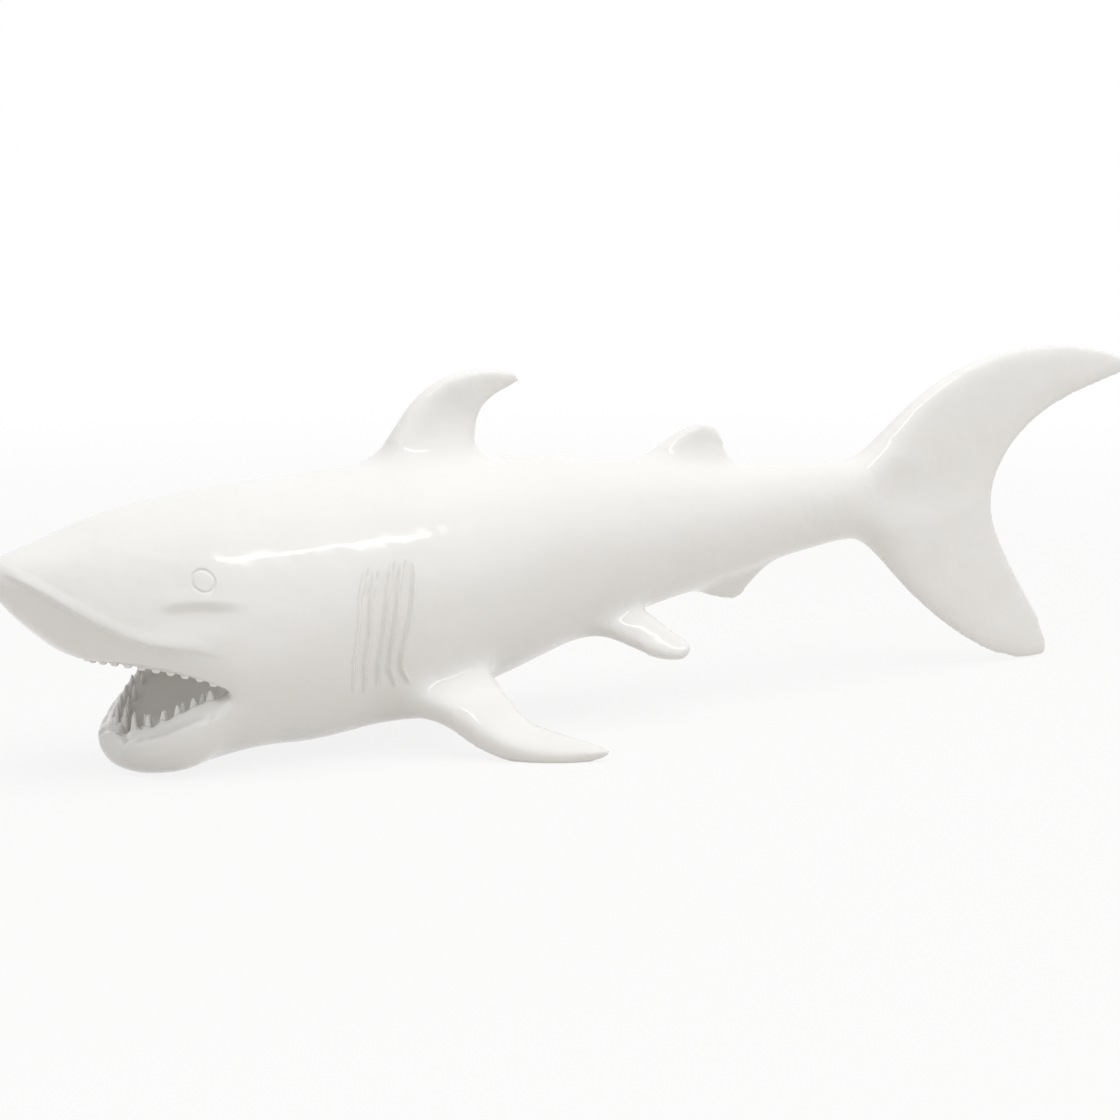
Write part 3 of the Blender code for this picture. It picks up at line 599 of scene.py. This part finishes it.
class SHARK_OT_thinning(bpy.types.Operator):
    """Thin the mesh out where the skin is plain."""

    bl_idname = "shark.thinning"
    bl_label = "Thin the mesh"

    def execute(self, context):
        body = bpy.data.objects["shark"]
        triangles = sum(len(face.vertices) - 2 for face in body.data.polygons)
        apply_modifier(body, "DECIMATE", ratio=context.scene.shark_casting.face_budget / triangles)
        return {"FINISHED"}


def along(points, share):
    """The point at this share of a polyline's length."""
    points = [Vector(point) for point in points]
    lengths = [(b - a).length for a, b in zip(points, points[1:])]
    where = share * sum(lengths)
    for a, b, length in zip(points, points[1:], lengths):
        if where <= length:
            return a.lerp(b, where / length)
        where -= length
    return points[-1]


def model_tooth(name, tip):
    """One tooth of radius 1 and height 1, base at the origin and tip up, with a root below the base. Tip
    is how wide it still is at the top."""
    deselect_all()
    bpy.ops.mesh.primitive_cone_add(vertices=12, radius1=1.0, radius2=tip, depth=1.8, location=(0, 0, 0.1))
    tooth = bpy.context.object
    tooth.name = name
    bpy.ops.object.transform_apply(location=True)
    bpy.ops.object.mode_set(mode="EDIT")
    bpy.ops.mesh.select_all(action="SELECT")
    bpy.ops.mesh.bisect(plane_co=(0, 0, 0.35), plane_no=(0, 0, 1))
    bpy.ops.transform.resize(value=(1.15, 1.15, 1.0))
    bpy.ops.mesh.select_all(action="SELECT")
    bpy.ops.mesh.bisect(plane_co=(0, 0, 0.80), plane_no=(0, 0, 1))
    bpy.ops.mesh.select_all(action="DESELECT")
    bpy.ops.object.mode_set(mode="OBJECT")
    apply_modifier(tooth, "SUBSURF", levels=1, render_levels=1)
    bpy.ops.object.shade_smooth()
    return tooth


def set_tooth(pattern, name, base, tip_direction, lip_direction, scale):
    """A copy of the pattern tooth, stood on a lip with its width along the lip."""
    choose(pattern)
    bpy.ops.object.duplicate()
    tooth = bpy.context.object
    tooth.name = name
    up = tip_direction.normalized()
    deep = up.cross(lip_direction).normalized()
    turn = Matrix((deep.cross(up), deep, up)).transposed().to_4x4()
    tooth.matrix_world = Matrix.Translation(base) @ turn @ Matrix.Diagonal((*scale, 1.0))
    choose(tooth)
    bpy.ops.object.transform_apply(location=True, rotation=True, scale=True)
    return tooth


TOOTH_ROWS = [
    # name, lip, how many, inset, seat, height first and last, half width and half depth, shares, up, tip
    ("upper", UPPER_LIP, 11, 0.0020, 0.0, 0.0018, 0.0013, (0.0026, 0.0022), (0.05, 0.86), -1, 0.50),
    ("lower", JAW_RIM, 7, 0.0078, 0.0042, 0.0084, 0.0048, (0.0034, 0.0024), (0.06, 0.80), 1, 0.12),
    ("inner", JAW_RIM, 5, 0.0112, 0.0042, 0.0080, 0.0050, (0.0031, 0.0022), (0.11, 0.73), 1, 0.12),
]


class SHARK_OT_teeth(bpy.types.Operator):
    """Model one tooth and copy it round both jaws."""

    bl_idname = "shark.teeth"
    bl_label = "Set the teeth"

    def execute(self, context):
        made = []
        for name, lip, count, inset, seat, first, last, girth, shares, up, tip in TOOTH_ROWS:
            pattern = model_tooth("tooth_pattern", tip)
            for i in range(count):
                share = shares[0] + (shares[1] - shares[0]) * i / (count - 1)
                point, ahead = along(lip, share), along(lip, min(share + LIP_STEP, 1.0))
                inward = Vector((ahead.y - point.y, point.x - ahead.x, 0)).normalized()
                height = first + (last - first) * i / (count - 1)
                for side in (-1, 1):
                    base = point + inward * inset
                    base = Vector((base.x + NOSE_X, base.y * side, base.z + seat - TOOTH_ROOT * up))
                    lip_direction = Vector((ahead.x - point.x, (ahead.y - point.y) * side, 0))
                    made.append(set_tooth(
                        pattern, f"tooth_{name}_{i}_{side}", base, Vector((0, -TOOTH_LEAN * side, up)),
                        lip_direction, (*girth, height),
                    ))
            bpy.data.objects.remove(pattern)
        deselect_all()
        for tooth in made:
            tooth.select_set(True)
        context.view_layer.objects.active = made[0]
        bpy.ops.object.join()
        teeth = context.object
        teeth.name = "teeth"
        teeth.data.name = "teeth"
        teeth.data.materials.clear()
        teeth.data.materials.append(bpy.data.materials["white_lacquered_resin"])
        bpy.ops.object.transform_apply(location=True, rotation=True, scale=True)
        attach(teeth, BODY)
        return {"FINISHED"}


def add_node(tree, kind, settings=None, links=()):
    """Adds a node, sets its attributes and sockets, and links sockets to it."""
    node = tree.nodes.new(kind)
    for name, value in (settings or {}).items():
        if isinstance(name, int) or name in node.inputs:
            node.inputs[name].default_value = value
        else:
            setattr(node, name, value)
    for source, socket in links:
        tree.links.new(source, node.inputs[socket])
    return node


def new_material(name):
    """An empty node material with its output."""
    material = bpy.data.materials.new(name)
    material.use_nodes = True
    tree = material.node_tree
    tree.nodes.clear()
    return material, tree, tree.nodes.new("ShaderNodeOutputMaterial")


def lacquered_resin(finish):
    """White polyurethane lacquer sprayed over cast resin, which gives long soft highlights that break
    up a little where the sprayed coat flowed unevenly."""
    material, tree, output = new_material("white_lacquered_resin")
    place = add_node(tree, "ShaderNodeTexCoord").outputs["Object"]
    # The coat pooled and thinned over patches about 30 mm wide
    patches = add_node(
        tree, "ShaderNodeTexNoise", {"Scale": 33.0, "Detail": 2.0, "Roughness": 0.5}, [(place, "Vector")]
    )
    shade = add_node(
        tree, "ShaderNodeMix",
        {"data_type": "RGBA", 6: (*finish.lacquer, 1.0), 7: (*finish.lacquer_shade, 1.0)},
        [(patches.outputs["Fac"], 0)],
    )
    # Waves left by hand rubbing, about 9 mm apart, and the orange peel of the spray, about 2.5 mm
    waves = add_node(
        tree, "ShaderNodeTexNoise", {"Scale": 110.0, "Detail": 1.0, "Roughness": 0.4}, [(place, "Vector")]
    )
    rubbed = add_node(
        tree, "ShaderNodeBump", {"Strength": 0.5, "Distance": 0.0009}, [(waves.outputs["Fac"], "Height")]
    )
    peel = add_node(
        tree, "ShaderNodeTexNoise", {"Scale": 400.0, "Detail": 1.0}, [(place, "Vector")]
    )
    skin = add_node(
        tree, "ShaderNodeBump", {"Strength": 0.25, "Distance": 0.00015},
        [(peel.outputs["Fac"], "Height"), (rubbed.outputs["Normal"], "Normal")],
    )
    shader = add_node(
        tree, "ShaderNodeBsdfPrincipled",
        {"Roughness": 0.16, "IOR": 1.5, "Coat Weight": 0.6, "Coat Roughness": 0.05},
        [(shade.outputs[2], "Base Color"), (skin.outputs["Normal"], "Normal")],
    )
    tree.links.new(shader.outputs["BSDF"], output.inputs["Surface"])
    return material


def studio_paper(finish):
    """Matt white background paper, lit from behind so that it shows white to the camera and in
    reflections. Near the figurine it keeps the shadow, and far out it fades into the white room."""
    material, tree, output = new_material("backlit_white_paper")
    rays = add_node(tree, "ShaderNodeLightPath")
    seen = add_node(
        tree, "ShaderNodeMath", {"operation": "MAXIMUM"},
        [(rays.outputs["Is Camera Ray"], 0), (rays.outputs["Is Glossy Ray"], 1)],
    )
    place = add_node(tree, "ShaderNodeTexCoord").outputs["Object"]
    away = add_node(tree, "ShaderNodeVectorMath", {"operation": "LENGTH"}, [(place, 0)])
    fade = add_node(
        tree, "ShaderNodeMapRange",
        {
            "interpolation_type": "SMOOTHSTEP",
            "From Min": 0.35, "From Max": 1.3, "To Min": 0.86, "To Max": 1.0,
        },
        [(away.outputs["Value"], "Value")],
    )
    share = add_node(
        tree, "ShaderNodeMath", {"operation": "MULTIPLY"}, [(seen.outputs[0], 0), (fade.outputs[0], 1)]
    )
    paper = add_node(tree, "ShaderNodeBsdfDiffuse", {"Color": (*finish.paper, 1.0)})
    glow = add_node(tree, "ShaderNodeEmission", {"Color": (1, 1, 1, 1), "Strength": 1.0})
    mixed = add_node(
        tree, "ShaderNodeMixShader", {},
        [(share.outputs[0], 0), (paper.outputs[0], 1), (glow.outputs[0], 2)],
    )
    tree.links.new(mixed.outputs[0], output.inputs["Surface"])
    return material


# The camera: turned this far round from the side towards the nose, and this far above
VIEW_AZIMUTH = math.radians(-32.0)
VIEW_ELEVATION = math.radians(9.0)
VIEW_DISTANCE = 1.5
VIEW_TARGET = Vector((-0.03194, 0.0, 0.06961))
VIEW_LENS = 3415.08 / 1120 * 36


def add_camera():
    """The camera that sees the figurine as the photograph does."""
    back = Vector((
        math.sin(VIEW_AZIMUTH) * math.cos(VIEW_ELEVATION),
        -math.cos(VIEW_AZIMUTH) * math.cos(VIEW_ELEVATION),
        math.sin(VIEW_ELEVATION),
    ))
    deselect_all()
    bpy.ops.object.camera_add(location=VIEW_TARGET + back * VIEW_DISTANCE)
    camera = bpy.context.object
    camera.rotation_euler = (-back).to_track_quat("-Z", "Y").to_euler()
    camera.data.lens = VIEW_LENS
    camera.data.sensor_width = 36
    camera.data.clip_end = 20
    bpy.context.scene.camera = camera


def add_lamp(name, place, aim, size, power, mirrored):
    """A rectangular lamp that faces a point. Mirrored says whether the gloss shows its shape."""
    deselect_all()
    bpy.ops.object.light_add(type="AREA", location=place)
    lamp = bpy.context.object
    lamp.name = name
    lamp.rotation_euler = (Vector(aim) - Vector(place)).to_track_quat("-Z", "Y").to_euler()
    lamp.data.shape = "RECTANGLE"
    lamp.data.size, lamp.data.size_y = size
    lamp.data.energy = power
    lamp.visible_glossy = mirrored


class SHARK_OT_stage(bpy.types.Operator):
    """Set up the floor, the backdrop, the soft boxes and the camera."""

    bl_idname = "shark.stage"
    bl_label = "Set up the studio"

    def execute(self, context):
        deselect_all()
        bpy.ops.mesh.primitive_plane_add(size=8.0, location=(0, 0, -0.0002))
        paper = context.object
        paper.name = "paper_sweep"
        bpy.ops.object.transform_apply(location=True)
        paper.data.materials.append(studio_paper(context.scene.shark_finish))
        for name, (place, aim, size, power, mirrored) in LAMPS.items():
            add_lamp(name, place, aim, size, power, mirrored)
        add_camera()
        world = bpy.data.worlds.new("studio")
        context.scene.world = world
        world.use_nodes = True
        tree = world.node_tree
        tree.nodes.clear()
        rays = add_node(tree, "ShaderNodeLightPath")
        seen = add_node(
            tree, "ShaderNodeMath", {"operation": "MAXIMUM"},
            [(rays.outputs["Is Camera Ray"], 0), (rays.outputs["Is Glossy Ray"], 1)],
        )
        light = add_node(tree, "ShaderNodeBackground", {"Color": (1, 1, 1, 1), "Strength": ROOM_LIGHT})
        shown = add_node(tree, "ShaderNodeBackground", {"Color": (1, 1, 1, 1), "Strength": 1.0})
        mixed = add_node(
            tree, "ShaderNodeMixShader", {},
            [(seen.outputs[0], 0), (light.outputs[0], 1), (shown.outputs[0], 2)],
        )
        output = add_node(tree, "ShaderNodeOutputWorld", {}, [(mixed.outputs[0], "Surface")])
        context.scene.view_settings.view_transform = "Standard"
        return {"FINISHED"}


class SHARK_PT_panel(bpy.types.Panel):
    """Lists the steps in order, with the sizes and colours they use."""

    bl_label = "Shark Figurine"
    bl_idname = "SHARK_PT_panel"
    bl_space_type = "VIEW_3D"
    bl_region_type = "UI"
    bl_category = "Shark"

    def draw(self, context):
        layout = self.layout
        for settings in (context.scene.shark_casting, context.scene.shark_finish):
            box = layout.box()
            for name in settings.__annotations__:
                box.prop(settings, name)
        for operator in OPERATORS:
            layout.operator(operator.bl_idname)


OPERATORS = (
    SHARK_OT_casting, SHARK_OT_carving, SHARK_OT_gills, SHARK_OT_eyes, SHARK_OT_thinning, SHARK_OT_teeth,
    SHARK_OT_stage,
)
CLASSES = (SharkCasting, SharkFinish, *OPERATORS, SHARK_PT_panel)


def register():
    for made in CLASSES:
        bpy.utils.register_class(made)
    bpy.types.Scene.shark_casting = bpy.props.PointerProperty(type=SharkCasting)
    bpy.types.Scene.shark_finish = bpy.props.PointerProperty(type=SharkFinish)


def unregister():
    del bpy.types.Scene.shark_finish
    del bpy.types.Scene.shark_casting
    for made in reversed(CLASSES):
        bpy.utils.unregister_class(made)


def main():
    register()
    bpy.ops.shark.casting()
    bpy.ops.shark.carving()
    bpy.ops.shark.gills()
    bpy.ops.shark.eyes()
    bpy.ops.shark.thinning()
    bpy.ops.shark.teeth()
    bpy.ops.shark.stage()


if __name__ == "__main__":
    main()
